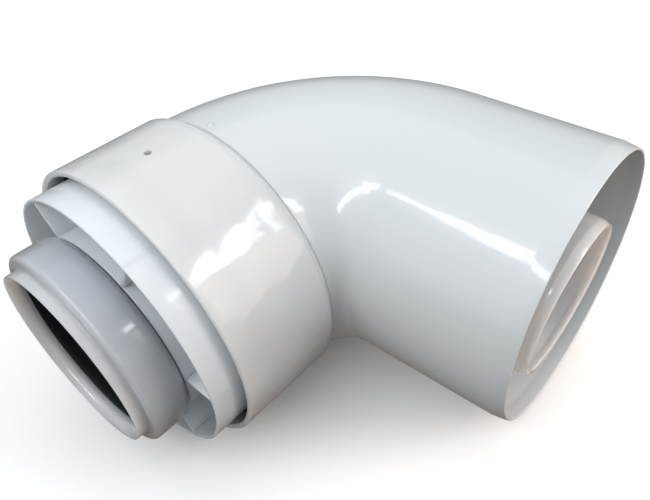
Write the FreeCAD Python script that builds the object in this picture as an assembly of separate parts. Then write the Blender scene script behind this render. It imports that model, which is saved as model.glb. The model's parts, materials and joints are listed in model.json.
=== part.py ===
import FreeCAD, Part
import math
import os

# Twin-wall flue elbow for a room-sealed boiler: a flue-gas bend runs inside an air bend.
# Millimetres. The origin is the centre of the air bend's plain end face. +Y points out of the
# plain end, +Z is square to the plane of the bend, and the socket opens towards +X.

# --- driving dimensions: the bend ---
TURN = 88.0                 # degrees that the duct turns through
THROAT_R = 4.3              # radius of the air bend's outside at its throat, the tight side
PLAIN_STRAIGHT = 57.4       # straight part of the plain leg

# --- driving dimensions: pipes ---
AIR_PIPE_R = 50.0           # outside radius of the 100 mm air pipe
STEEL_WALL = 0.8
FLUE_PIPE_R = 30.0          # outside radius of the 60 mm flue pipe
FLUE_WALL = 2.0
SPIGOT_SHORT = 1.1          # the flue spigot ends this far inside the air pipe's end
SPIGOT_BEVEL_LONG = 3.2
SPIGOT_BEVEL_DEEP = 1.0
SWAGE_LONG = 5.5            # the last of the air pipe is drawn in, to lead into a socket
SWAGE_DEEP = 0.9
REST_SAG = 3.4              # degrees by which the loose flue bend hangs below the air pipe's axis

# --- driving dimensions: the collar ---
COLLAR_OFF_BEND = 0.8       # from where the bend ends to the collar's back edge
COLLAR_LONG = 39.7
COLLAR_WALL = 1.95
COLLAR_BEVEL_LONG = 2.6
COLLAR_BEVEL_LIP = 0.4      # what is left of the collar's wall at its back edge
PIPE_TO_COLLAR = 0.25       # radial clearance of an air pipe pushed into the collar
BEND_TO_COLLAR = 0.05       # radial clearance of the air bend, which is bonded in
SOCKET_DEPTH = 25.9         # from the collar's front to its inner stop
STOP_RIB_LONG = 2.0
SCREW_HOLE_R = 1.25
SCREW_HOLE_IN = 19.7        # from the collar's front
RIM_ROUND = 0.6

# --- driving dimensions: the air seal ---
AIR_SEAL_IN = 6.8           # from the collar's front to the seal's groove
AIR_SEAL_LONG = 6.0
AIR_GROOVE_DEEP = 0.95
AIR_SEAL_LIP = 1.0          # how far the lip stands in from the collar's bore
AIR_SEAL_TIP_AT = 2.0       # from the groove's back face to the lip's tip
AIR_SEAL_TIP_LONG = 1.0
AIR_SEAL_TIP_DEEP = 0.25

# --- driving dimensions: the centring ring ---
RING_GAP = 2.25             # between ring and collar, for the wall of the next air pipe
RING_WALL = 1.1
RING_RIM_ROUND = 0.35
RING_PROUD = 9.6            # how far it stands out of the collar
RING_FOOT_IN = 7.0          # how far its foot goes into the air bend
FOOT_CLEAR = 0.05
HUB_WALL = 2.2
HUB_LONG = 30.0
SPOKE_COUNT = 6
SPOKE_THICK = 1.3
SPOKE_LONG = 26.0
SPOKE_BACK = 0.5            # the spokes' front edges sit this far behind the ring's front

# --- driving dimensions: the flue socket ---
FLUE_SOCKET_CLEAR = 0.3     # radial clearance of a flue pipe pushed into the socket
LIP_PROUD = 27.3            # how far the flue socket stands out of the collar
LIP_LONG = 3.9              # from the mouth back to the shoulder
LIP_WALL = 1.9
LIP_ROLL_R = 0.3
LEAD_IN_LONG = 2.4          # the mouth opens out a little, to guide the pipe in
LEAD_IN_DEEP = 1.2
BULGE_LONG = 13.7
BULGE_PROUD = 4.0           # how far the bulge stands out from the socket's wall
BULGE_ROUND = 2.0
PIPE_STOP_SPARE = 4.0       # the socket runs this much deeper than a full push needs
SOCKET_STEP_LONG = 3.0
FLUE_SEAL_IN = 5.2          # from the mouth to the seal's front face
SEAL_CLEAR = 0.05
FLUE_SEAL_BEVEL = 2.0       # lead-in at the back of the seal's bore
HUB_CLEAR = 0.06            # running clearance of the flue socket in the ring's hub
HUB_GAP = 0.4               # axial gap between the hub and the bulge

# --- driving dimensions: the pip pressed out of the air bend ---
PIP_R = 1.3
PIP_PROUD = 0.6
PIP_BEHIND = 3.6            # from the collar's back edge to the pip

CUT_OVER = 1.0              # how far a cutting shape runs past what it cuts

# --- worked out: distances along the two axes run from VERTEX, the point where they cross ---
BEND_R = AIR_PIPE_R + THROAT_R
BEND_TANGENT = BEND_R * math.tan(math.radians(TURN) / 2)
PLAIN_LEG = PLAIN_STRAIGHT + BEND_TANGENT
VERTEX = FreeCAD.Vector(0, -PLAIN_LEG, 0)
UP = FreeCAD.Vector(0, 0, 1)
PLAIN_AXIS = FreeCAD.Vector(0, 1, 0)
SOCKET_AXIS = FreeCAD.Vector(math.sin(math.radians(TURN)), -math.cos(math.radians(TURN)), 0)
STEEL_BORE_R = AIR_PIPE_R - STEEL_WALL
FLUE_BORE_R = FLUE_PIPE_R - FLUE_WALL
FLUE_SOCKET_R = FLUE_PIPE_R + FLUE_SOCKET_CLEAR
COLLAR_BORE_R = AIR_PIPE_R + PIPE_TO_COLLAR
COLLAR_R = COLLAR_BORE_R + COLLAR_WALL
COLLAR_BACK = BEND_TANGENT + COLLAR_OFF_BEND
COLLAR_FRONT = COLLAR_BACK + COLLAR_LONG
STOP_FACE = COLLAR_FRONT - SOCKET_DEPTH
BEND_END = STOP_FACE - STOP_RIB_LONG
RING_R = COLLAR_BORE_R - RING_GAP
RING_FRONT = COLLAR_FRONT + RING_PROUD
SOCKET_WALL_R = FLUE_SOCKET_R + FLUE_WALL
BULGE_R = SOCKET_WALL_R + BULGE_PROUD
LIP_FRONT = COLLAR_FRONT + LIP_PROUD
BULGE_FRONT = LIP_FRONT - LIP_LONG
BULGE_BACK = BULGE_FRONT - BULGE_LONG
HUB_BORE_R = SOCKET_WALL_R + HUB_CLEAR
HUB_R = HUB_BORE_R + HUB_WALL
HUB_FRONT = BULGE_BACK - HUB_GAP
SOCKET_FLOOR = STOP_FACE + SPIGOT_SHORT - PIPE_STOP_SPARE


def revolve_on_socket(outline):
    """Spin an outline of (distance along the socket axis, radius) points about that axis."""
    points = [VERTEX + SOCKET_AXIS * along + UP * radius for along, radius in outline]
    face = Part.Face(Part.makePolygon(points + points[:1]))
    return face.revolve(VERTEX, SOCKET_AXIS, 360)


def elbow_rod(radius, plain_end, socket_end):
    """A solid round rod along the elbow: plain leg, bend, socket leg. The two ends are
    distances from the crossing point of the axes."""
    start = VERTEX + PLAIN_AXIS * plain_end
    bend_start = VERTEX + PLAIN_AXIS * BEND_TANGENT
    bend_end = VERTEX + SOCKET_AXIS * BEND_TANGENT
    inwards = (PLAIN_AXIS + SOCKET_AXIS).normalize()
    middle = VERTEX + inwards * (BEND_R / math.cos(math.radians(TURN) / 2) - BEND_R)
    path = Part.Wire([
        Part.LineSegment(start, bend_start).toShape(),
        Part.Arc(bend_start, middle, bend_end).toShape(),
        Part.LineSegment(bend_end, VERTEX + SOCKET_AXIS * socket_end).toShape(),
    ])
    section = Part.Wire(Part.makeCircle(radius, start, PLAIN_AXIS))
    return path.makePipeShell([section], True, False)


def end_taper(end, long, radius, deep):
    """What is cut off the outside of a plain end to make a bevel that is long by deep."""
    start = VERTEX + PLAIN_AXIS * (end - long)
    block_long = long + CUT_OVER
    block = Part.makeCylinder(radius + CUT_OVER, block_long, start, PLAIN_AXIS)
    cone_end_r = radius - deep / long * block_long
    cone = Part.makeCone(radius, cone_end_r, block_long, start, PLAIN_AXIS)
    return block.cut(cone)


def make_outer_bend():
    """Thin steel tube bend. Its plain end is drawn in a little, inside and outside alike."""
    rod = elbow_rod(AIR_PIPE_R, PLAIN_LEG, BEND_END)
    bore = elbow_rod(STEEL_BORE_R, PLAIN_LEG, BEND_END)
    rod = rod.cut(end_taper(PLAIN_LEG, SWAGE_LONG, AIR_PIPE_R, SWAGE_DEEP))
    bore = bore.cut(end_taper(PLAIN_LEG, SWAGE_LONG, STEEL_BORE_R, SWAGE_DEEP))
    shell = rod.cut(bore)
    pip_ball = (PIP_R ** 2 + PIP_PROUD ** 2) / (2 * PIP_PROUD)
    pip_along = COLLAR_BACK - PIP_BEHIND
    pip_centre = VERTEX + SOCKET_AXIS * pip_along + UP * (AIR_PIPE_R + PIP_PROUD - pip_ball)
    pip = Part.makeSphere(pip_ball, pip_centre).cut(bore)
    return shell.fuse(pip)


def make_socket_collar():
    """Moulded collar on the end of the air bend. A rib inside it stops the bend from behind
    and the next air pipe from the front, and a groove near its mouth holds the air seal."""
    bond_r = AIR_PIPE_R + BEND_TO_COLLAR
    groove_front = COLLAR_FRONT - AIR_SEAL_IN
    groove_back = groove_front - AIR_SEAL_LONG
    groove_r = COLLAR_BORE_R + AIR_GROOVE_DEEP
    collar = revolve_on_socket([
        (COLLAR_BACK, bond_r),
        (COLLAR_BACK, bond_r + COLLAR_BEVEL_LIP),
        (COLLAR_BACK + COLLAR_BEVEL_LONG, COLLAR_R),
        (COLLAR_FRONT - RIM_ROUND, COLLAR_R),
        (COLLAR_FRONT, COLLAR_R - RIM_ROUND),
        (COLLAR_FRONT, COLLAR_BORE_R + RIM_ROUND),
        (COLLAR_FRONT - RIM_ROUND, COLLAR_BORE_R),
        (groove_front, COLLAR_BORE_R),
        (groove_front, groove_r),
        (groove_back, groove_r),
        (groove_back, COLLAR_BORE_R),
        (STOP_FACE, COLLAR_BORE_R),
        (STOP_FACE, STEEL_BORE_R),
        (BEND_END, STEEL_BORE_R),
        (BEND_END, bond_r),
    ])
    hole_at = VERTEX + SOCKET_AXIS * (COLLAR_FRONT - SCREW_HOLE_IN) + UP * STEEL_BORE_R
    hole_long = COLLAR_R - STEEL_BORE_R + CUT_OVER
    return collar.cut(Part.makeCylinder(SCREW_HOLE_R, hole_long, hole_at, UP))


def make_air_seal():
    """Rubber ring: a flat base in the collar's groove and a lip that leans back inwards."""
    front = COLLAR_FRONT - AIR_SEAL_IN
    back = front - AIR_SEAL_LONG
    lip_r = COLLAR_BORE_R - AIR_SEAL_LIP
    tip = back + AIR_SEAL_TIP_AT
    return revolve_on_socket([
        (back, COLLAR_BORE_R),
        (back, COLLAR_BORE_R + AIR_GROOVE_DEEP),
        (front, COLLAR_BORE_R + AIR_GROOVE_DEEP),
        (front, COLLAR_BORE_R),
        (tip, lip_r),
        (tip - AIR_SEAL_TIP_LONG, lip_r + AIR_SEAL_TIP_DEEP),
        (tip, COLLAR_BORE_R),
    ])


def make_centring_ring():
    """One white moulding: a thin outer ring, a hub that the flue socket turns in, and flat
    spokes between them. The ring's foot is a thicker band that sits in the air bend."""
    foot_back = BEND_END - RING_FOOT_IN
    ring_bore_r = RING_R - RING_WALL
    ring = revolve_on_socket([
        (foot_back, ring_bore_r),
        (foot_back, STEEL_BORE_R - FOOT_CLEAR),
        (BEND_END, STEEL_BORE_R - FOOT_CLEAR),
        (BEND_END, RING_R),
        (RING_FRONT - RING_RIM_ROUND, RING_R),
        (RING_FRONT, RING_R - RING_RIM_ROUND),
        (RING_FRONT, ring_bore_r + RING_RIM_ROUND),
        (RING_FRONT - RING_RIM_ROUND, ring_bore_r),
    ])
    hub = revolve_on_socket([
        (HUB_FRONT - HUB_LONG, HUB_BORE_R),
        (HUB_FRONT - HUB_LONG, HUB_R),
        (HUB_FRONT, HUB_R),
        (HUB_FRONT, HUB_BORE_R),
    ])
    hub_mid_r = (HUB_R + HUB_BORE_R) / 2
    ring_mid_r = RING_R - RING_WALL / 2
    front = VERTEX + SOCKET_AXIS * (RING_FRONT - SPOKE_BACK)
    side = SOCKET_AXIS.cross(UP)
    spokes = []
    for index in range(SPOKE_COUNT):
        spoke = Part.makeBox(SPOKE_THICK, ring_mid_r - hub_mid_r, SPOKE_LONG)
        spoke.translate(FreeCAD.Vector(-SPOKE_THICK / 2, hub_mid_r, -SPOKE_LONG))
        turn_to_axis = FreeCAD.Rotation(UP, side, SOCKET_AXIS, "ZYX")
        spoke.Placement = FreeCAD.Placement(front, turn_to_axis).multiply(spoke.Placement)
        spoke.rotate(VERTEX, SOCKET_AXIS, index * 360 / SPOKE_COUNT)
        spokes.append(spoke)
    return ring.fuse([hub] + spokes).removeSplitter()


def hang(shape):
    """Turn a piece of the flue bend about the socket axis, to where it rests."""
    shape.rotate(VERTEX, SOCKET_AXIS, -REST_SAG)
    return shape


def make_flue_bend():
    """Plastic flue bend: a bevelled spigot, the bend, a socket for the next flue pipe and, at
    its mouth, a rolled lip in front of a bulge whose inside is the seal's groove."""
    spigot_end = PLAIN_LEG - SPIGOT_SHORT
    socket_start = SOCKET_FLOOR - SOCKET_STEP_LONG
    rod = elbow_rod(FLUE_PIPE_R, spigot_end, socket_start)
    rod = rod.cut(end_taper(spigot_end, SPIGOT_BEVEL_LONG, FLUE_PIPE_R, SPIGOT_BEVEL_DEEP))
    pipe = rod.cut(elbow_rod(FLUE_BORE_R, spigot_end, socket_start))
    lip_r = FLUE_SOCKET_R + LIP_WALL
    socket = revolve_on_socket([
        (socket_start, FLUE_BORE_R),
        (socket_start, FLUE_PIPE_R),
        (SOCKET_FLOOR, SOCKET_WALL_R),
        (BULGE_BACK, SOCKET_WALL_R),
        (BULGE_BACK, BULGE_R - BULGE_ROUND),
        (BULGE_BACK + BULGE_ROUND, BULGE_R),
        (BULGE_FRONT - BULGE_ROUND, BULGE_R),
        (BULGE_FRONT, BULGE_R - BULGE_ROUND),
        (BULGE_FRONT, lip_r),
        (LIP_FRONT - LIP_ROLL_R, lip_r),
        (LIP_FRONT, lip_r - LIP_ROLL_R),
        (LIP_FRONT, FLUE_SOCKET_R + LEAD_IN_DEEP),
        (LIP_FRONT - LEAD_IN_LONG, FLUE_SOCKET_R),
        (LIP_FRONT - FLUE_SEAL_IN, FLUE_SOCKET_R),
        (LIP_FRONT - FLUE_SEAL_IN, BULGE_R - FLUE_WALL),
        (BULGE_BACK + FLUE_WALL, BULGE_R - FLUE_WALL),
        (BULGE_BACK + FLUE_WALL, FLUE_SOCKET_R),
        (SOCKET_FLOOR, FLUE_SOCKET_R),
        (SOCKET_FLOOR, FLUE_BORE_R),
    ])
    return hang(pipe.fuse(socket).removeSplitter())


def make_flue_seal():
    """Rubber ring that fills the bulge's groove, drawn as it sits with a pipe through it."""
    front = LIP_FRONT - FLUE_SEAL_IN
    back = BULGE_BACK + FLUE_WALL
    seal_r = FLUE_SOCKET_R + SEAL_CLEAR
    outer_r = BULGE_R - FLUE_WALL
    return hang(revolve_on_socket([
        (back, seal_r + FLUE_SEAL_BEVEL),
        (back, outer_r),
        (front, outer_r),
        (front, seal_r),
        (back + FLUE_SEAL_BEVEL, seal_r),
    ]))


MAKERS = {
    "outer_bend": make_outer_bend,
    "socket_collar": make_socket_collar,
    "air_seal": make_air_seal,
    "centring_ring": make_centring_ring,
    "flue_bend": make_flue_bend,
    "flue_seal": make_flue_seal,
}

os.makedirs("parts", exist_ok=True)
for name, make in MAKERS.items():
    shape = make()
    box = shape.BoundBox
    print(name, "solids", len(shape.Solids), "valid", shape.isValid(), "volume", round(shape.Volume, 1),
          "box", [round(v, 2) for v in (box.XMin, box.YMin, box.ZMin, box.XMax, box.YMax, box.ZMax)])
    shape.exportStep("parts/" + name + ".step")
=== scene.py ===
import json
import math

import bpy
from mathutils import Matrix, Vector


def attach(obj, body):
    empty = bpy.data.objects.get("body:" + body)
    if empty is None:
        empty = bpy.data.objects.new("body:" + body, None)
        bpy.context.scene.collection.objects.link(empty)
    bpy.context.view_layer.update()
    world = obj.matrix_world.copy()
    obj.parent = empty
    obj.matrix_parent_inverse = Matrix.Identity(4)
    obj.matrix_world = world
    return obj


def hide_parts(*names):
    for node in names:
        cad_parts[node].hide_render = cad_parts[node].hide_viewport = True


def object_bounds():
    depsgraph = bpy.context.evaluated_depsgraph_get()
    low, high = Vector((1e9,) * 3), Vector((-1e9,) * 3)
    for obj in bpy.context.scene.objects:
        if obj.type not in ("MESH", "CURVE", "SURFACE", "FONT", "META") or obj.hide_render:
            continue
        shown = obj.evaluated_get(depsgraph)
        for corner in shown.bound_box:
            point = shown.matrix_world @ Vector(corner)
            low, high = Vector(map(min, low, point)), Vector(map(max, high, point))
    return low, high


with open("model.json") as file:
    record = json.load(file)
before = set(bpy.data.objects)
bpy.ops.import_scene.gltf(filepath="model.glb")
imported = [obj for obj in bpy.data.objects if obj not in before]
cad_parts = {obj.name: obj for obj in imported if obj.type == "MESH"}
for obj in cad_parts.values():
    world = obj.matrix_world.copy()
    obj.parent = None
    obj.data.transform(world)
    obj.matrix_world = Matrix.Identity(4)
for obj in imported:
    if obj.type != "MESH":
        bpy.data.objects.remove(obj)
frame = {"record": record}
cad_low, cad_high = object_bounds()

# ---------------------------------------------------------------------------------------------
# Camera: a hand-held view down onto the throat side, from under 30 cm away. Its own numbers
# are where it stands, which way it looks, and which way its right side points.
CAMERA_PLACE = Vector((0.1540, 0.0341, 0.1525))
CAMERA_LOOK = Vector((-0.5449, -0.4653, -0.6975))
CAMERA_RIGHT = Vector((-0.6170, 0.7858, -0.0421))
CAMERA_LENS = 34.2
CAMERA_SHIFT = (-0.0453, 0.0267)
SENSOR_WIDE = 36
NEAREST_SEEN = 0.01

camera_data = bpy.data.cameras.new("camera")
camera_data.lens = CAMERA_LENS
camera_data.sensor_width = SENSOR_WIDE
camera_data.shift_x, camera_data.shift_y = CAMERA_SHIFT
camera_data.clip_start = NEAREST_SEEN
camera = bpy.data.objects.new("camera", camera_data)
bpy.context.scene.collection.objects.link(camera)
back = -CAMERA_LOOK.normalized()
over = back.cross(CAMERA_RIGHT).normalized()
camera_turn = Matrix((over.cross(back), over, back)).transposed()
camera.matrix_world = Matrix.Translation(CAMERA_PLACE) @ camera_turn.to_4x4()
bpy.context.scene.camera = camera

# ---------------------------------------------------------------------------------------------
# Air bend: a thin steel tube bend, powder coated gloss white after it was formed. The last of
# its plain end is drawn in to lead into the next collar, and its other end is in this collar.
# The plain end looks along +Y, the socket nearly along +X, and both pipe axes lie level.
UP = Vector((0, 0, 1))
PLAIN_AXIS = Vector((0, 1, 0))
STEEL_WALL = 0.0008
SWAGE_LONG = 0.0055
SWAGE_DEEP = 0.0009
BEND_IN_COLLAR = 0.0279
TAPER_TURN = 0.0007
CUT_EDGE_ROUND = 0.00034
AROUND_AIR_BEND = 192
STEPS_AIR_BEND = 96
STEPS_LEG = 12
MERGE_WITHIN = 1e-6

mounts = {mount["name"]: mount for mount in frame["record"]["mounts"]}
socket_axis = Vector(mounts["air_socket"]["axis"]).normalized()
collar_mouth = Vector(mounts["air_socket"]["pos_m"])
crossing = collar_mouth - socket_axis * (collar_mouth.x / socket_axis.x)
collar_front = (collar_mouth - crossing).length
turn = math.pi - PLAIN_AXIS.angle(socket_axis)
air_pipe_r = mounts["air_spigot"]["dims"]["r_mm"] / 1000
plain_straight = mounts["air_spigot"]["dims"]["length_mm"] / 1000 + SWAGE_LONG
bend_tangent = -crossing.y - plain_straight
bend_r = bend_tangent / math.tan(turn / 2)
bend_pivot = Vector((bend_r, crossing.y + bend_tangent, 0))


def start_ring(name, around, radius, place, facing):
    """Adds a circle of that radius at a place, facing along a direction, and opens it for edit."""
    bpy.ops.object.select_all(action="DESELECT")
    tilt = facing.to_track_quat("Z", "Y").to_euler()
    bpy.ops.mesh.primitive_circle_add(vertices=around, radius=radius, location=place, rotation=tilt)
    bpy.ops.object.transform_apply(location=True, rotation=True, scale=True)
    piece = bpy.context.object
    piece.name = name
    bpy.ops.object.mode_set(mode="EDIT")
    bpy.ops.mesh.select_all(action="SELECT")
    return piece


def extrude_ring(step, swell=1.0, centre=(0, 0, 0)):
    """Extrudes the open ring by a step, then swells it about its new centre."""
    bpy.ops.mesh.extrude_region_move(TRANSFORM_OT_translate={"value": step})
    if swell != 1.0:
        bpy.ops.transform.resize(value=(swell, swell, swell), center_override=centre)


def close_mesh():
    """Merges doubles, points all faces outwards and leaves edit mode."""
    bpy.ops.mesh.select_all(action="SELECT")
    bpy.ops.mesh.remove_doubles(threshold=MERGE_WITHIN)
    bpy.ops.mesh.normals_make_consistent(inside=False)
    bpy.ops.object.mode_set(mode="OBJECT")


def add_modifier(piece, kind, **settings):
    """Adds a modifier with these settings and applies it."""
    bpy.ops.object.select_all(action="DESELECT")
    piece.select_set(True)
    bpy.context.view_layer.objects.active = piece
    modifier = piece.modifiers.new(kind.lower(), kind)
    for setting, value in settings.items():
        setattr(modifier, setting, value)
    bpy.ops.object.modifier_apply(modifier=modifier.name)


def smooth(piece, degrees=30):
    """Shades a piece smooth, apart from edges that turn by more than this."""
    bpy.ops.object.select_all(action="DESELECT")
    piece.select_set(True)
    bpy.context.view_layer.objects.active = piece
    bpy.ops.object.shade_smooth_by_angle(angle=math.radians(degrees))


def bent_tube(name, radius, around, bend_steps, plain_end, socket_end, taper_long, taper_deep):
    """A tube's outside, from a tapered plain end round the bend to a straight socket end. Extra
    rings either side of where the taper starts keep the turn there short."""
    start = crossing + PLAIN_AXIS * plain_end
    slope = taper_deep / taper_long
    piece = start_ring(name, around, radius - taper_deep, start, PLAIN_AXIS)
    reached = radius - taper_deep
    for step in (taper_long - TAPER_TURN, TAPER_TURN):
        start = start - PLAIN_AXIS * step
        extrude_ring(-PLAIN_AXIS * step, (reached + slope * step) / reached, start)
        reached += slope * step
    extrude_ring(-PLAIN_AXIS * TAPER_TURN)
    leg = plain_end - taper_long - TAPER_TURN - bend_tangent
    for _ in range(STEPS_LEG):
        extrude_ring(-PLAIN_AXIS * leg / STEPS_LEG)
    bpy.ops.mesh.spin(steps=bend_steps, angle=-turn, center=bend_pivot, axis=UP)
    for _ in range(STEPS_LEG):
        extrude_ring(socket_axis * (socket_end - bend_tangent) / STEPS_LEG)
    return piece


def new_material(name):
    """A node material, with its main shader and the piece's own coordinates."""
    material = bpy.data.materials.new(name)
    material.use_nodes = True
    nodes = material.node_tree.nodes
    shader = nodes["Principled BSDF"]
    coordinates = nodes.new("ShaderNodeTexCoord")
    return material, shader, coordinates.outputs["Object"]


def add_noise(material, place, scale, detail=2.0):
    """A noise texture on the piece's own coordinates, with about scale lumps to the metre."""
    noise = material.node_tree.nodes.new("ShaderNodeTexNoise")
    noise.inputs["Scale"].default_value = scale
    noise.inputs["Detail"].default_value = detail
    material.node_tree.links.new(place, noise.inputs["Vector"])
    return noise.outputs["Fac"]


def add_tint(material, shader, factor, dark, light, low=0.2, high=0.8):
    """Colours the shader between two shades by a factor."""
    ramp = material.node_tree.nodes.new("ShaderNodeValToRGB")
    ramp.color_ramp.interpolation = "EASE"
    ramp.color_ramp.elements[0].position = low
    ramp.color_ramp.elements[0].color = (*dark, 1)
    ramp.color_ramp.elements[1].position = high
    ramp.color_ramp.elements[1].color = (*light, 1)
    material.node_tree.links.new(factor, ramp.inputs["Fac"])
    material.node_tree.links.new(ramp.outputs["Color"], shader.inputs["Base Color"])


def add_roughness(material, shader, factor, low, high):
    """Lets the shader's roughness wander between two values."""
    span = material.node_tree.nodes.new("ShaderNodeMapRange")
    span.inputs["To Min"].default_value = low
    span.inputs["To Max"].default_value = high
    material.node_tree.links.new(factor, span.inputs["Value"])
    material.node_tree.links.new(span.outputs["Result"], shader.inputs["Roughness"])


def add_bump(material, shader, factor, depth, strength, under=None):
    """Raises the surface by a factor times a depth in metres, on top of an earlier bump."""
    bump = material.node_tree.nodes.new("ShaderNodeBump")
    bump.inputs["Strength"].default_value = strength
    bump.inputs["Distance"].default_value = depth
    material.node_tree.links.new(factor, bump.inputs["Height"])
    if under:
        material.node_tree.links.new(under, bump.inputs["Normal"])
    material.node_tree.links.new(bump.outputs["Normal"], shader.inputs["Normal"])
    return bump.outputs["Normal"]


def powder_coat():
    """Gloss polyester powder on steel: a cool white with fine orange peel."""
    material, shader, place = new_material("powder_coat")
    add_tint(material, shader, add_noise(material, place, 14),
             (0.575, 0.605, 0.62), (0.595, 0.625, 0.64))
    add_roughness(material, shader, add_noise(material, place, 30, 1), 0.285, 0.325)
    shader.inputs["Coat Weight"].default_value = 0.6
    shader.inputs["Coat Roughness"].default_value = 0.06
    peel = add_bump(material, shader, add_noise(material, place, 650, 0), 0.00001, 1.0)
    peel = add_bump(material, shader, add_noise(material, place, 2200, 0), 0.000005, 1.0, peel)
    material.node_tree.links.new(peel, shader.inputs["Coat Normal"])
    return material


outer_bend = bent_tube("outer_bend_shell", air_pipe_r, AROUND_AIR_BEND, STEPS_AIR_BEND, -crossing.y,
                       collar_front - BEND_IN_COLLAR, SWAGE_LONG, SWAGE_DEEP)
close_mesh()
add_modifier(outer_bend, "SOLIDIFY", thickness=STEEL_WALL, offset=-1)
add_modifier(outer_bend, "BEVEL", width=CUT_EDGE_ROUND, segments=4, limit_method="ANGLE",
             angle_limit=math.radians(60))
smooth(outer_bend)
powder = powder_coat()
outer_bend.data.materials.append(powder)
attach(outer_bend, "air_duct")
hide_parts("outer_bend")

# ---------------------------------------------------------------------------------------------
# Pip: a small round dimple pressed out of the steel just behind the collar, in line with the
# screw hole. It was pressed before the tube was coated, so the powder covers it too.
PIP_R = 0.0013
PIP_PROUD = 0.0006
PIP_BEHIND = 0.0036
PIP_STEPS = 7
AROUND_PIP = 32
COLLAR_LONG = 0.0397

pip_ball = (PIP_R ** 2 + PIP_PROUD ** 2) / (2 * PIP_PROUD)
pip_edge = math.asin(PIP_R / pip_ball)
pip_centre = crossing + socket_axis * (collar_front - COLLAR_LONG - PIP_BEHIND) + UP * (
    air_pipe_r + PIP_PROUD - pip_ball)
pip_slopes = [pip_edge * (1 - step / PIP_STEPS) for step in range(PIP_STEPS)]
pip = start_ring("pressed_pip", AROUND_PIP, PIP_R, pip_centre + UP * pip_ball * math.cos(pip_edge), UP)
for below, slope in zip(pip_slopes, pip_slopes[1:]):
    pip_rise = pip_ball * (math.cos(slope) - math.cos(below))
    pip_top = pip_centre + UP * pip_ball * math.cos(slope)
    extrude_ring(UP * pip_rise, math.sin(slope) / math.sin(below), pip_top)
bpy.ops.mesh.edge_face_add()
bpy.ops.mesh.poke()
close_mesh()
smooth(pip, 80)
pip.data.materials.append(powder)
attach(pip, "air_duct")

# ---------------------------------------------------------------------------------------------
# Socket collar: an injection-moulded sleeve, gloss white, bonded over the end of the air bend.
# It takes the next air pipe and a self-tapping screw, and its back edge is bevelled.
COLLAR_WALL = 0.00195
COLLAR_BORE_R = 0.05025
COLLAR_BEVEL_LONG = 0.0026
COLLAR_BEVEL_LIP = 0.0004
SOCKET_DEPTH = 0.0259
STOP_RIB_LONG = 0.0020
AIR_SEAL_IN = 0.0068
AIR_SEAL_LONG = 0.0060
AIR_GROOVE_DEEP = 0.00095
RIM_ROUND = 0.0006
COLLAR_EDGE_ROUND = 0.00006
BEVEL_GROOVE_WIDE = 0.00032
BEVEL_GROOVE_DEEP = 0.00035
PARTING_AT = math.radians(64.5)
PARTING_LONG = 0.0190
PARTING_FROM_FRONT = 0.0029
PARTING_WIDE = 0.00028
PARTING_PROUD = 0.00006
DRILL_LONG = 0.02
AROUND_DRILL = 48
AROUND_COLLAR = 192
STEPS_COLLAR = 16

collar_r = COLLAR_BORE_R + COLLAR_WALL
collar_back = collar_front - COLLAR_LONG
screw_hole = mounts["screw_hole"]


def turned(name, around, outline):
    """A solid of revolution about the socket axis, from a closed outline of
    (distance along the axis, radius) points."""
    along, radius = outline[0]
    piece = start_ring(name, around, radius, crossing + socket_axis * along, socket_axis)
    for next_along, next_radius in outline[1:] + outline[:1]:
        centre = crossing + socket_axis * next_along
        extrude_ring(socket_axis * (next_along - along), next_radius / radius, centre)
        along, radius = next_along, next_radius
    close_mesh()
    return piece


def arc(along, radius, reach, start, end, steps=6):
    """Points of an arc about (along, radius), between two angles in degrees."""
    angles = [math.radians(start + (end - start) * step / steps) for step in range(steps + 1)]
    return [(along + reach * math.cos(angle), radius + reach * math.sin(angle)) for angle in angles]


def gloss_plastic(name, dark, light, low, high, wave, through):
    """Gloss injection-moulded plastic, with faint sinks and a slightly uneven polish."""
    material, shader, place = new_material(name)
    add_tint(material, shader, add_noise(material, place, 20), dark, light)
    add_roughness(material, shader, add_noise(material, place, 60, 3), low, high)
    shader.inputs["Subsurface Weight"].default_value = through
    shader.inputs["Subsurface Radius"].default_value = (0.003, 0.0028, 0.0026)
    shader.inputs["Subsurface Scale"].default_value = 1.0 + 2 * through
    shader.inputs["Coat Weight"].default_value = 0.35
    shader.inputs["Coat Roughness"].default_value = 0.05
    sink = add_bump(material, shader, add_noise(material, place, 48, 0), wave, 1.0)
    sink = add_bump(material, shader, add_noise(material, place, 120, 1), wave / 4, 1.0, sink)
    material.node_tree.links.new(sink, shader.inputs["Coat Normal"])
    return material


def join(piece, others):
    """Joins other meshes into a piece."""
    bpy.ops.object.select_all(action="DESELECT")
    for other in others:
        other.select_set(True)
    piece.select_set(True)
    bpy.context.view_layer.objects.active = piece
    bpy.ops.object.join()


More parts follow.
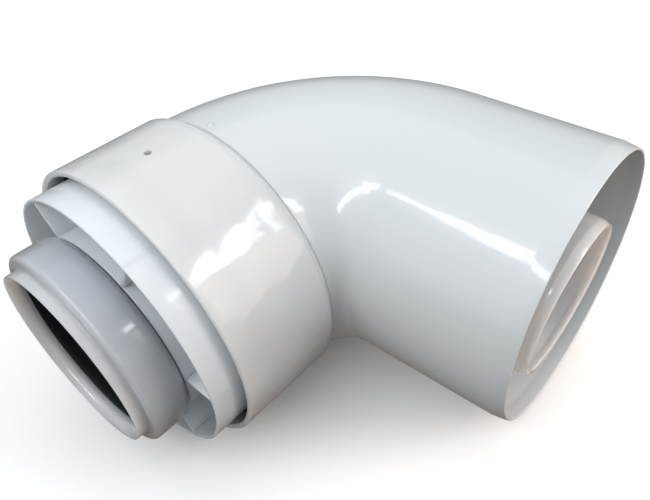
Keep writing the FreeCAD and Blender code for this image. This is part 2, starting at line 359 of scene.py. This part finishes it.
flank_start = collar_back + COLLAR_BEVEL_LONG
flank_long = COLLAR_LONG - COLLAR_BEVEL_LONG - RIM_ROUND
collar_flank = [(flank_start + flank_long * step / STEPS_COLLAR, collar_r)
                for step in range(STEPS_COLLAR)]
groove_front = collar_front - AIR_SEAL_IN
groove_back = groove_front - AIR_SEAL_LONG
groove_r = COLLAR_BORE_R + AIR_GROOVE_DEEP
stop_face = collar_front - SOCKET_DEPTH
bend_end = stop_face - STOP_RIB_LONG
collar = turned("socket_collar_moulding", AROUND_COLLAR, [
    (collar_back, air_pipe_r),
    (collar_back, air_pipe_r + COLLAR_BEVEL_LIP),
    (flank_start - BEVEL_GROOVE_WIDE, collar_r - BEVEL_GROOVE_WIDE / 2),
    (flank_start - BEVEL_GROOVE_WIDE / 2, collar_r - BEVEL_GROOVE_DEEP),
] + collar_flank + arc(collar_front - RIM_ROUND, collar_r - RIM_ROUND, RIM_ROUND, 90, 0)
  + arc(collar_front - RIM_ROUND, COLLAR_BORE_R + RIM_ROUND, RIM_ROUND, 0, -90) + [
    (groove_front, COLLAR_BORE_R),
    (groove_front, groove_r),
    (groove_back, groove_r),
    (groove_back, COLLAR_BORE_R),
    (stop_face, COLLAR_BORE_R),
    (stop_face, air_pipe_r - STEEL_WALL),
    (bend_end, air_pipe_r - STEEL_WALL),
    (bend_end, air_pipe_r),
])
add_modifier(collar, "BEVEL", width=COLLAR_EDGE_ROUND, segments=2, limit_method="ANGLE",
             angle_limit=math.radians(20))
bpy.ops.object.select_all(action="DESELECT")
bpy.ops.mesh.primitive_cylinder_add(vertices=AROUND_DRILL, radius=screw_hole["dims"]["r_mm"] / 1000,
                                    depth=DRILL_LONG, location=screw_hole["pos_m"])
drill = bpy.context.object
add_modifier(collar, "BOOLEAN", operation="DIFFERENCE", object=drill, solver="EXACT")
bpy.data.objects.remove(drill)

parting_out = Matrix.Rotation(-PARTING_AT, 3, socket_axis) @ UP.cross(socket_axis)
bpy.ops.object.select_all(action="DESELECT")
bpy.ops.mesh.primitive_cube_add(size=1)
parting_line = bpy.context.object
parting_mid = crossing + socket_axis * (collar_front - PARTING_FROM_FRONT - PARTING_LONG / 2)
parting_line.matrix_world = Matrix.Translation(parting_mid + parting_out * collar_r) @ Matrix((
    parting_out * 2 * PARTING_PROUD, socket_axis.cross(parting_out) * PARTING_WIDE,
    socket_axis * PARTING_LONG)).transposed().to_4x4()
bpy.ops.object.transform_apply(location=True, rotation=True, scale=True)
join(collar, [parting_line])
smooth(collar, 28)
collar_plastic = gloss_plastic("collar_plastic", (0.61, 0.62, 0.625), (0.635, 0.645, 0.65),
                               0.18, 0.24, 0.0013, 0.3)
collar.data.materials.append(collar_plastic)
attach(collar, "air_duct")
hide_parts("socket_collar")

# ---------------------------------------------------------------------------------------------
# Junction shade line: a thin fillet drawn all round where the collar's back edge meets the steel,
# nearly flush with the collar's edge. Its dark grey colour is painted shade for the crease there.
JUNCTION_SHADE_LONG = 0.0005


def painted_junction_shade():
    """Painted shade for the crease where the collar meets the steel: a dull grey, a little uneven."""
    material, shader, place = new_material("junction_shade_paint")
    add_tint(material, shader, add_noise(material, place, 200, 3),
             (0.30, 0.29, 0.28), (0.42, 0.41, 0.39))
    add_roughness(material, shader, add_noise(material, place, 500, 2), 0.45, 0.6)
    add_bump(material, shader, add_noise(material, place, 700, 2), 0.00005, 0.6)
    return material


# Painted shade: a dark grey ring laid into the junction between the collar and the steel.
junction_shade_line = turned("junction_shade_line", AROUND_COLLAR, [
    (collar_back + JUNCTION_SHADE_LONG, air_pipe_r - STEEL_WALL / 2),
    (collar_back - JUNCTION_SHADE_LONG, air_pipe_r - STEEL_WALL / 2),
    (collar_back - JUNCTION_SHADE_LONG, air_pipe_r + COLLAR_BEVEL_LIP * 0.15),
    (collar_back - JUNCTION_SHADE_LONG * 0.5, air_pipe_r + COLLAR_BEVEL_LIP * 0.35),
    (collar_back + JUNCTION_SHADE_LONG * 0.1, air_pipe_r + COLLAR_BEVEL_LIP * 0.8),
])
smooth(junction_shade_line)
junction_shade_line.data.materials.append(painted_junction_shade())
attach(junction_shade_line, "air_duct")

# ---------------------------------------------------------------------------------------------
# Air seal: a moulded black rubber ring pushed into the collar's groove. Its lip leans inwards
# and back, and closes on the next air pipe.
AIR_SEAL_LIP = 0.0010
AIR_SEAL_TIP_AT = 0.0020
AIR_SEAL_TIP_LONG = 0.0010
AIR_SEAL_TIP_DEEP = 0.00025
AIR_SEAL_ROUND = 0.00012
AROUND_SEAL = 160


def rubber():
    """Black rubber, dull, with a fine grain and a trace of bloom."""
    material, shader, place = new_material("seal_rubber")
    add_tint(material, shader, add_noise(material, place, 160, 4),
             (0.003, 0.005, 0.005), (0.007, 0.010, 0.010))
    add_roughness(material, shader, add_noise(material, place, 300, 3), 0.45, 0.65)
    shader.inputs["Specular IOR Level"].default_value = 0.22
    add_bump(material, shader, add_noise(material, place, 1800, 2), 0.00003, 0.5)
    return material


seal_lip_r = COLLAR_BORE_R - AIR_SEAL_LIP
seal_tip = groove_back + AIR_SEAL_TIP_AT
air_seal = turned("air_seal_ring", AROUND_SEAL, [
    (groove_back, COLLAR_BORE_R),
    (groove_back, groove_r),
    (groove_front, groove_r),
    (groove_front, COLLAR_BORE_R),
    (groove_front - AIR_SEAL_LONG * 0.35, COLLAR_BORE_R - AIR_SEAL_LIP * 0.45),
    (seal_tip, seal_lip_r),
    (seal_tip - AIR_SEAL_TIP_LONG, seal_lip_r + AIR_SEAL_TIP_DEEP),
    (seal_tip, COLLAR_BORE_R - AIR_SEAL_LIP * 0.2),
])
add_modifier(air_seal, "BEVEL", width=AIR_SEAL_ROUND, segments=2, limit_method="ANGLE",
             angle_limit=math.radians(30))
smooth(air_seal)
black_rubber = rubber()
air_seal.data.materials.append(black_rubber)
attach(air_seal, "air_duct")
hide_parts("air_seal")

# ---------------------------------------------------------------------------------------------
# Centring ring: one thin white moulding. A thicker foot holds its outer ring in the air bend,
# and six flat spokes carry the hub that the flue socket sits and turns in.
RING_GAP = 0.00225
RING_WALL = 0.0011
RING_PROUD = 0.0096
RING_FOOT_IN = 0.0070
RING_FOOT_CLEAR = 0.00005
FLUE_WALL = 0.0020
HUB_CLEAR = 0.00006
HUB_WALL = 0.0022
HUB_LONG = 0.0300
HUB_GAP = 0.0004
SPOKE_COUNT = 6
SPOKE_THICK = 0.0013
SPOKE_LONG = 0.0260
SPOKE_BACK = 0.0005
SPOKE_INTO_WALLS = 0.0012
RING_EDGE_ROUND = 0.0003
AROUND_RING = 192
AROUND_HUB = 128
STEPS_RING = 8
LIP_PROUD = 0.0273
LIP_LONG = 0.0039
BULGE_LONG = 0.0137

flue_socket_r = mounts["flue_socket"]["dims"]["r_mm"] / 1000
ring_r = COLLAR_BORE_R - RING_GAP
ring_front = collar_front + RING_PROUD
foot_back = bend_end - RING_FOOT_IN
foot_r = air_pipe_r - STEEL_WALL - RING_FOOT_CLEAR
hub_bore_r = flue_socket_r + FLUE_WALL + HUB_CLEAR
hub_r = hub_bore_r + HUB_WALL
bulge_back = collar_front + LIP_PROUD - LIP_LONG - BULGE_LONG
hub_front = bulge_back - HUB_GAP
spoke_mid_r = (hub_r + ring_r - RING_WALL) / 2
spoke_high = ring_r - RING_WALL - hub_r + SPOKE_INTO_WALLS

ring_flank = [(bend_end + (ring_front - bend_end) * step / STEPS_RING, ring_r)
              for step in range(STEPS_RING + 1)]
ring_inside = [(along, ring_r - RING_WALL) for along, _ in reversed(ring_flank)]
centring_ring = turned("centring_ring_moulding", AROUND_RING, [
    (foot_back, ring_r - RING_WALL),
    (foot_back, foot_r),
    (bend_end, foot_r),
] + ring_flank + ring_inside)
hub = turned("hub", AROUND_HUB, [
    (hub_front - HUB_LONG, hub_bore_r),
    (hub_front - HUB_LONG, hub_r),
    (hub_front, hub_r),
    (hub_front, hub_bore_r),
])
spokes = []
for index in range(SPOKE_COUNT):
    out = Matrix.Rotation(index * 2 * math.pi / SPOKE_COUNT, 3, socket_axis) @ UP.cross(socket_axis)
    side = socket_axis.cross(out)
    middle = crossing + socket_axis * (ring_front - SPOKE_BACK - SPOKE_LONG / 2) + out * spoke_mid_r
    bpy.ops.object.select_all(action="DESELECT")
    bpy.ops.mesh.primitive_cube_add(size=1)
    spoke = bpy.context.object
    spoke.matrix_world = Matrix.Translation(middle) @ Matrix((
        out * spoke_high, side * SPOKE_THICK, socket_axis * SPOKE_LONG)).transposed().to_4x4()
    bpy.ops.object.transform_apply(location=True, rotation=True, scale=True)
    bpy.ops.object.mode_set(mode="EDIT")
    bpy.ops.mesh.select_all(action="SELECT")
    bpy.ops.mesh.subdivide(number_cuts=3)
    bpy.ops.object.mode_set(mode="OBJECT")
    spokes.append(spoke)

join(centring_ring, [hub] + spokes)
add_modifier(centring_ring, "BEVEL", width=RING_EDGE_ROUND, segments=3, limit_method="ANGLE",
             angle_limit=math.radians(60))
smooth(centring_ring)
ring_plastic = gloss_plastic("ring_plastic", (0.66, 0.70, 0.735), (0.69, 0.73, 0.76),
                             0.18, 0.24, 0.0005, 0.3)
centring_ring.data.materials.append(ring_plastic)
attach(centring_ring, "air_duct")
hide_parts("centring_ring")

# ---------------------------------------------------------------------------------------------
# Flue bend: milky translucent polypropylene, moulded in one. Its mouth has a rolled lip and a
# bulge for the seal, and its plain end is bevelled. It hangs a little low in the air bend.
SPIGOT_SHORT = 0.0011
SPIGOT_BEVEL_LONG = 0.0032
SPIGOT_BEVEL_DEEP = 0.0010
PIPE_STOP_SPARE = 0.0040
SOCKET_STEP_LONG = 0.0030
LIP_WALL = 0.0019
LEAD_IN_LONG = 0.0024
BULGE_PROUD = 0.0040
FLUE_SEAL_IN = 0.0052
BULGE_TOE = 0.0006
BULGE_BACK_ROUND = 0.0026
SHOULDER_ROUND = 0.0017
NECK_ROUND = 0.0012
LIP_ROUND = 0.0003
FLUE_EDGE_ROUND = 0.0003
# Painted shade: the cooler, darker colour multiplied into the flue plastic over the seal bulge, and
# how soft the band's edges are.
SEAL_PAINTED_SHADE = (0.72, 0.755, 0.80)
SEAL_PAINTED_SHADE_BLUR = 0.0016
AROUND_FLUE = 160
STEPS_FLUE_BEND = 64

flue_pipe_r = mounts["flue_spigot"]["dims"]["r_mm"] / 1000
socket_wall_r = flue_socket_r + FLUE_WALL
bulge_r = socket_wall_r + BULGE_PROUD
lip_front = collar_front + LIP_PROUD
bulge_front = lip_front - LIP_LONG
lip_r = flue_socket_r + LIP_WALL
socket_floor = stop_face + SPIGOT_SHORT - PIPE_STOP_SPARE
socket_start = socket_floor - SOCKET_STEP_LONG
seal_front = lip_front - FLUE_SEAL_IN
seal_back = bulge_back + FLUE_WALL
seal_seat_r = bulge_r - FLUE_WALL
sag = math.asin(Vector(mounts["flue_spigot"]["axis"]).z / socket_axis.x)


def paint_shade_band(material, shader, place, axis, middle, half, blur, shade):
    """Paints shade into the colour over a band across an axis, for where something dark sits behind
    the wall.
    """
    nodes, links = material.node_tree.nodes, material.node_tree.links
    along = nodes.new("ShaderNodeVectorMath")
    along.operation = "DOT_PRODUCT"
    along.inputs[1].default_value = axis
    links.new(place, along.inputs[0])
    off = nodes.new("ShaderNodeMath")
    off.operation = "SUBTRACT"
    off.inputs[1].default_value = middle
    links.new(along.outputs["Value"], off.inputs[0])
    apart = nodes.new("ShaderNodeMath")
    apart.operation = "ABSOLUTE"
    links.new(off.outputs["Value"], apart.inputs[0])
    painted_shade_mask = nodes.new("ShaderNodeMapRange")
    painted_shade_mask.interpolation_type = "SMOOTHSTEP"
    painted_shade_mask.inputs["From Min"].default_value = half + blur
    painted_shade_mask.inputs["From Max"].default_value = half - blur
    links.new(apart.outputs["Value"], painted_shade_mask.inputs["Value"])
    mix = nodes.new("ShaderNodeMix")
    mix.data_type = "RGBA"
    mix.blend_type = "MULTIPLY"
    mix.inputs["B"].default_value = (*shade, 1)
    links.new(painted_shade_mask.outputs["Result"], mix.inputs["Factor"])
    links.new(shader.inputs["Base Color"].links[0].from_socket, mix.inputs["A"])
    links.new(mix.outputs["Result"], shader.inputs["Base Color"])


def polypropylene():
    """Unfilled polypropylene: milky, lets light through its thin walls, with a soft gloss. Over the
    bulge, where the black seal sits behind the wall, painted shade makes the colour cooler and darker."""
    material, shader, place = new_material("flue_plastic")
    add_tint(material, shader, add_noise(material, place, 26), (0.55, 0.56, 0.57), (0.59, 0.595, 0.60))
    # Painted shade: the colour is darkened and cooled in a band over the bulge, for the black seal
    # behind the wall.
    painted_shade_mid = crossing.dot(socket_axis) + (bulge_back + bulge_front) / 2
    paint_shade_band(material, shader, place, socket_axis, painted_shade_mid, (bulge_front - bulge_back) / 2,
               SEAL_PAINTED_SHADE_BLUR, SEAL_PAINTED_SHADE)
    add_roughness(material, shader, add_noise(material, place, 80, 3), 0.14, 0.20)
    shader.inputs["Subsurface Weight"].default_value = 0.8
    shader.inputs["Subsurface Radius"].default_value = (0.009, 0.008, 0.007)
    shader.inputs["Subsurface Scale"].default_value = 1.0
    shader.inputs["IOR"].default_value = 1.49
    shader.inputs["Coat Weight"].default_value = 0.6
    shader.inputs["Coat Roughness"].default_value = 0.04
    sink = add_bump(material, shader, add_noise(material, place, 60, 0), 0.0002, 1.0)
    material.node_tree.links.new(sink, shader.inputs["Coat Normal"])
    return material


flue_socket = turned("flue_bend_moulding", AROUND_FLUE, [
    (socket_start, flue_pipe_r - FLUE_WALL),
    (socket_start, flue_pipe_r),
    (socket_floor, socket_wall_r),
    (bulge_back - BULGE_TOE, socket_wall_r),
] + arc(bulge_back + BULGE_BACK_ROUND, bulge_r - BULGE_BACK_ROUND, BULGE_BACK_ROUND, 185, 90)
  + arc(bulge_front - SHOULDER_ROUND, bulge_r - SHOULDER_ROUND, SHOULDER_ROUND, 90, 14)
  + arc(bulge_front + NECK_ROUND, lip_r + NECK_ROUND, NECK_ROUND, 194, 270)
  + arc(lip_front - LIP_ROUND, lip_r - LIP_ROUND, LIP_ROUND, 90, -40) + [
    (lip_front - LEAD_IN_LONG, flue_socket_r),
    (seal_front, flue_socket_r),
    (seal_front, seal_seat_r),
    (seal_back, seal_seat_r),
    (seal_back, flue_socket_r),
    (socket_floor, flue_socket_r),
    (socket_floor, flue_pipe_r - FLUE_WALL),
])
flue_pipe = bent_tube("flue_pipe", flue_pipe_r, AROUND_FLUE, STEPS_FLUE_BEND,
                      -crossing.y - SPIGOT_SHORT, socket_start, SPIGOT_BEVEL_LONG, SPIGOT_BEVEL_DEEP)
close_mesh()
add_modifier(flue_pipe, "SOLIDIFY", thickness=FLUE_WALL, offset=-1)
join(flue_socket, [flue_pipe])
hang = (Matrix.Translation(crossing) @ Matrix.Rotation(sag, 4, socket_axis)
        @ Matrix.Translation(-crossing))
flue_socket.matrix_world = hang @ flue_socket.matrix_world
bpy.ops.object.transform_apply(location=True, rotation=True, scale=True)
add_modifier(flue_socket, "BEVEL", width=FLUE_EDGE_ROUND, segments=3, limit_method="ANGLE",
             angle_limit=math.radians(50))
smooth(flue_socket, 40)
flue_socket.data.materials.append(polypropylene())
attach(flue_socket, "flue_duct")
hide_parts("flue_bend")

# ---------------------------------------------------------------------------------------------
# Flue seal: a black rubber ring that fills the bulge behind the lip. It is drawn as it sits
# with a pipe through it, with two shallow sealing ribs at its bore.
SEAL_CLEAR = 0.00005
RIB_DEEP = 0.0006
FLUE_SEAL_ROUND = 0.00015

seal_r = flue_socket_r + SEAL_CLEAR
seal_long = seal_front - seal_back
flue_seal = turned("flue_seal_ring", AROUND_FLUE, [
    (seal_back, seal_r + 2 * RIB_DEEP),
    (seal_back, seal_seat_r),
    (seal_front, seal_seat_r),
    (seal_front, seal_r),
    (seal_front - seal_long * 0.22, seal_r),
    (seal_front - seal_long * 0.34, seal_r + RIB_DEEP),
    (seal_front - seal_long * 0.50, seal_r + RIB_DEEP),
    (seal_front - seal_long * 0.62, seal_r),
    (seal_front - seal_long * 0.78, seal_r),
])
add_modifier(flue_seal, "BEVEL", width=FLUE_SEAL_ROUND, segments=2, limit_method="ANGLE",
             angle_limit=math.radians(30))
smooth(flue_seal)
flue_seal.data.materials.append(black_rubber)
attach(flue_seal, "flue_duct")
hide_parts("flue_seal")

# ---------------------------------------------------------------------------------------------
# Floor: a plain pale sheet under the elbow. It casts no shadow and gives no bounce light or
# reflection, so that only the room and the lamps shade the pieces.
FLOOR_HALF = 3.0
FLOOR_DROP = 0.0002

bpy.ops.object.select_all(action="DESELECT")
bpy.ops.mesh.primitive_plane_add(size=2 * FLOOR_HALF, location=(0, 0, cad_low.z - FLOOR_DROP))
floor = bpy.context.object
floor.name = "floor"
paper, paper_shader, paper_place = new_material("pale_floor")
add_tint(paper, paper_shader, add_noise(paper, paper_place, 3), (0.90, 0.90, 0.90), (0.92, 0.92, 0.92))
paper_shader.inputs["Roughness"].default_value = 0.9
floor.data.materials.append(paper)
floor.visible_diffuse = False
floor.visible_glossy = False
floor.visible_shadow = False

# ---------------------------------------------------------------------------------------------
# Light: a soft room that is warmer low down, a long strip lamp overhead that tapers at one end,
# three window panes, a warm wall beyond the plain end, a small warm card close to that end's
# mouth, a wide fill on the socket side and a dim ceiling.
STRIP_AT = Vector((0.62, -0.12, 0.77))
STRIP_ALONG = Vector((0.23, 0.97, -0.07))
STRIP_FAR = 1.6
# Each part of the strip: how far it is along the strip, its length and its width.
STRIP_PARTS = ((-0.275, 0.18, 0.10), (-0.18, 0.14, 0.17), (-0.09, 0.16, 0.26), (0.29, 1.06, 0.17))
PANE_FAR = 1.6
PANE_LONG = 0.25
# Each pane: its degrees around, its degrees above the floor and its width.
PANES = ((106.5, 38.5, 0.14), (116.5, 40.0, 0.30), (126.5, 43.0, 0.14))
WHITE = (1, 1, 1)
ROOM_LOW = (0.17, 0.145, 0.13)
ROOM_LEVEL = (0.46, 0.48, 0.49)
ROOM_HIGH = (0.78, 0.81, 0.84)
ROOM_LEVEL_AT = 0.10


def add_area_light(name, direction, distance, long, wide, along, radiance, colour):
    """An area light at a distance in a direction from the elbow, its long side along a line."""
    light = bpy.data.lights.new(name, "AREA")
    light.shape = "RECTANGLE"
    light.size = long
    light.size_y = wide
    light.energy = radiance * math.pi * long * wide
    light.color = colour
    lamp = bpy.data.objects.new(name, light)
    bpy.context.scene.collection.objects.link(lamp)
    back_to_lamp = direction.normalized()
    short = back_to_lamp.cross(along).normalized()
    turn_lamp = Matrix((short.cross(back_to_lamp), short, back_to_lamp)).transposed()
    lamp.matrix_world = Matrix.Translation(crossing + back_to_lamp * distance) @ turn_lamp.to_4x4()
    return lamp


def toward(azimuth, height):
    """A direction from degrees around from +X and degrees above the floor."""
    around, above = math.radians(azimuth), math.radians(height)
    return Vector((math.cos(around) * math.cos(above), math.sin(around) * math.cos(above),
                   math.sin(above)))


for offset, long, wide in STRIP_PARTS:
    add_area_light("strip", STRIP_AT + STRIP_ALONG * offset, STRIP_FAR, long, wide, STRIP_ALONG,
                   9.0, WHITE)
for azimuth, rise, wide in PANES:
    add_area_light("window_pane", toward(azimuth, rise), PANE_FAR, PANE_LONG, wide,
                   toward(azimuth - 90, 0), 8.0, WHITE)
add_area_light("warm_wall", toward(115, 18), 1.7, 0.66, 0.86, toward(25, 0), 2.4,
               (1.0, 0.83, 0.71))
mouth_card = add_area_light("mouth_card", toward(110, 6), 0.29, 0.14, 0.05, toward(20, 0), 15.0,
                            (1.0, 0.82, 0.70))
mouth_card.visible_camera = False
mouth_card.visible_glossy = False
add_area_light("side_fill", toward(-12, 18), 2.0, 2.0, 1.4, toward(78, 0), 0.6, (0.96, 0.98, 1.0))
add_area_light("ceiling", toward(-90, 80), 2.2, 3.0, 3.0, toward(0, 0), 0.55, (0.97, 0.99, 1.0))

world = bpy.data.worlds.new("room")
world.use_nodes = True
room = world.node_tree
look_at = room.nodes.new("ShaderNodeTexCoord")
height = room.nodes.new("ShaderNodeSeparateXYZ")
shade = room.nodes.new("ShaderNodeValToRGB")
shade.color_ramp.elements[0].position = 0.0
shade.color_ramp.elements[0].color = (*ROOM_LOW, 1)
shade.color_ramp.elements[1].position = 1.0
shade.color_ramp.elements[1].color = (*ROOM_HIGH, 1)
edge = shade.color_ramp.elements.new(ROOM_LEVEL_AT)
edge.color = (*ROOM_LEVEL, 1)
room.links.new(look_at.outputs["Generated"], height.inputs["Vector"])
room.links.new(height.outputs["Z"], shade.inputs["Fac"])
room.links.new(shade.outputs["Color"], room.nodes["Background"].inputs["Color"])
bpy.context.scene.world = world
bpy.context.scene.view_settings.view_transform = "Standard"
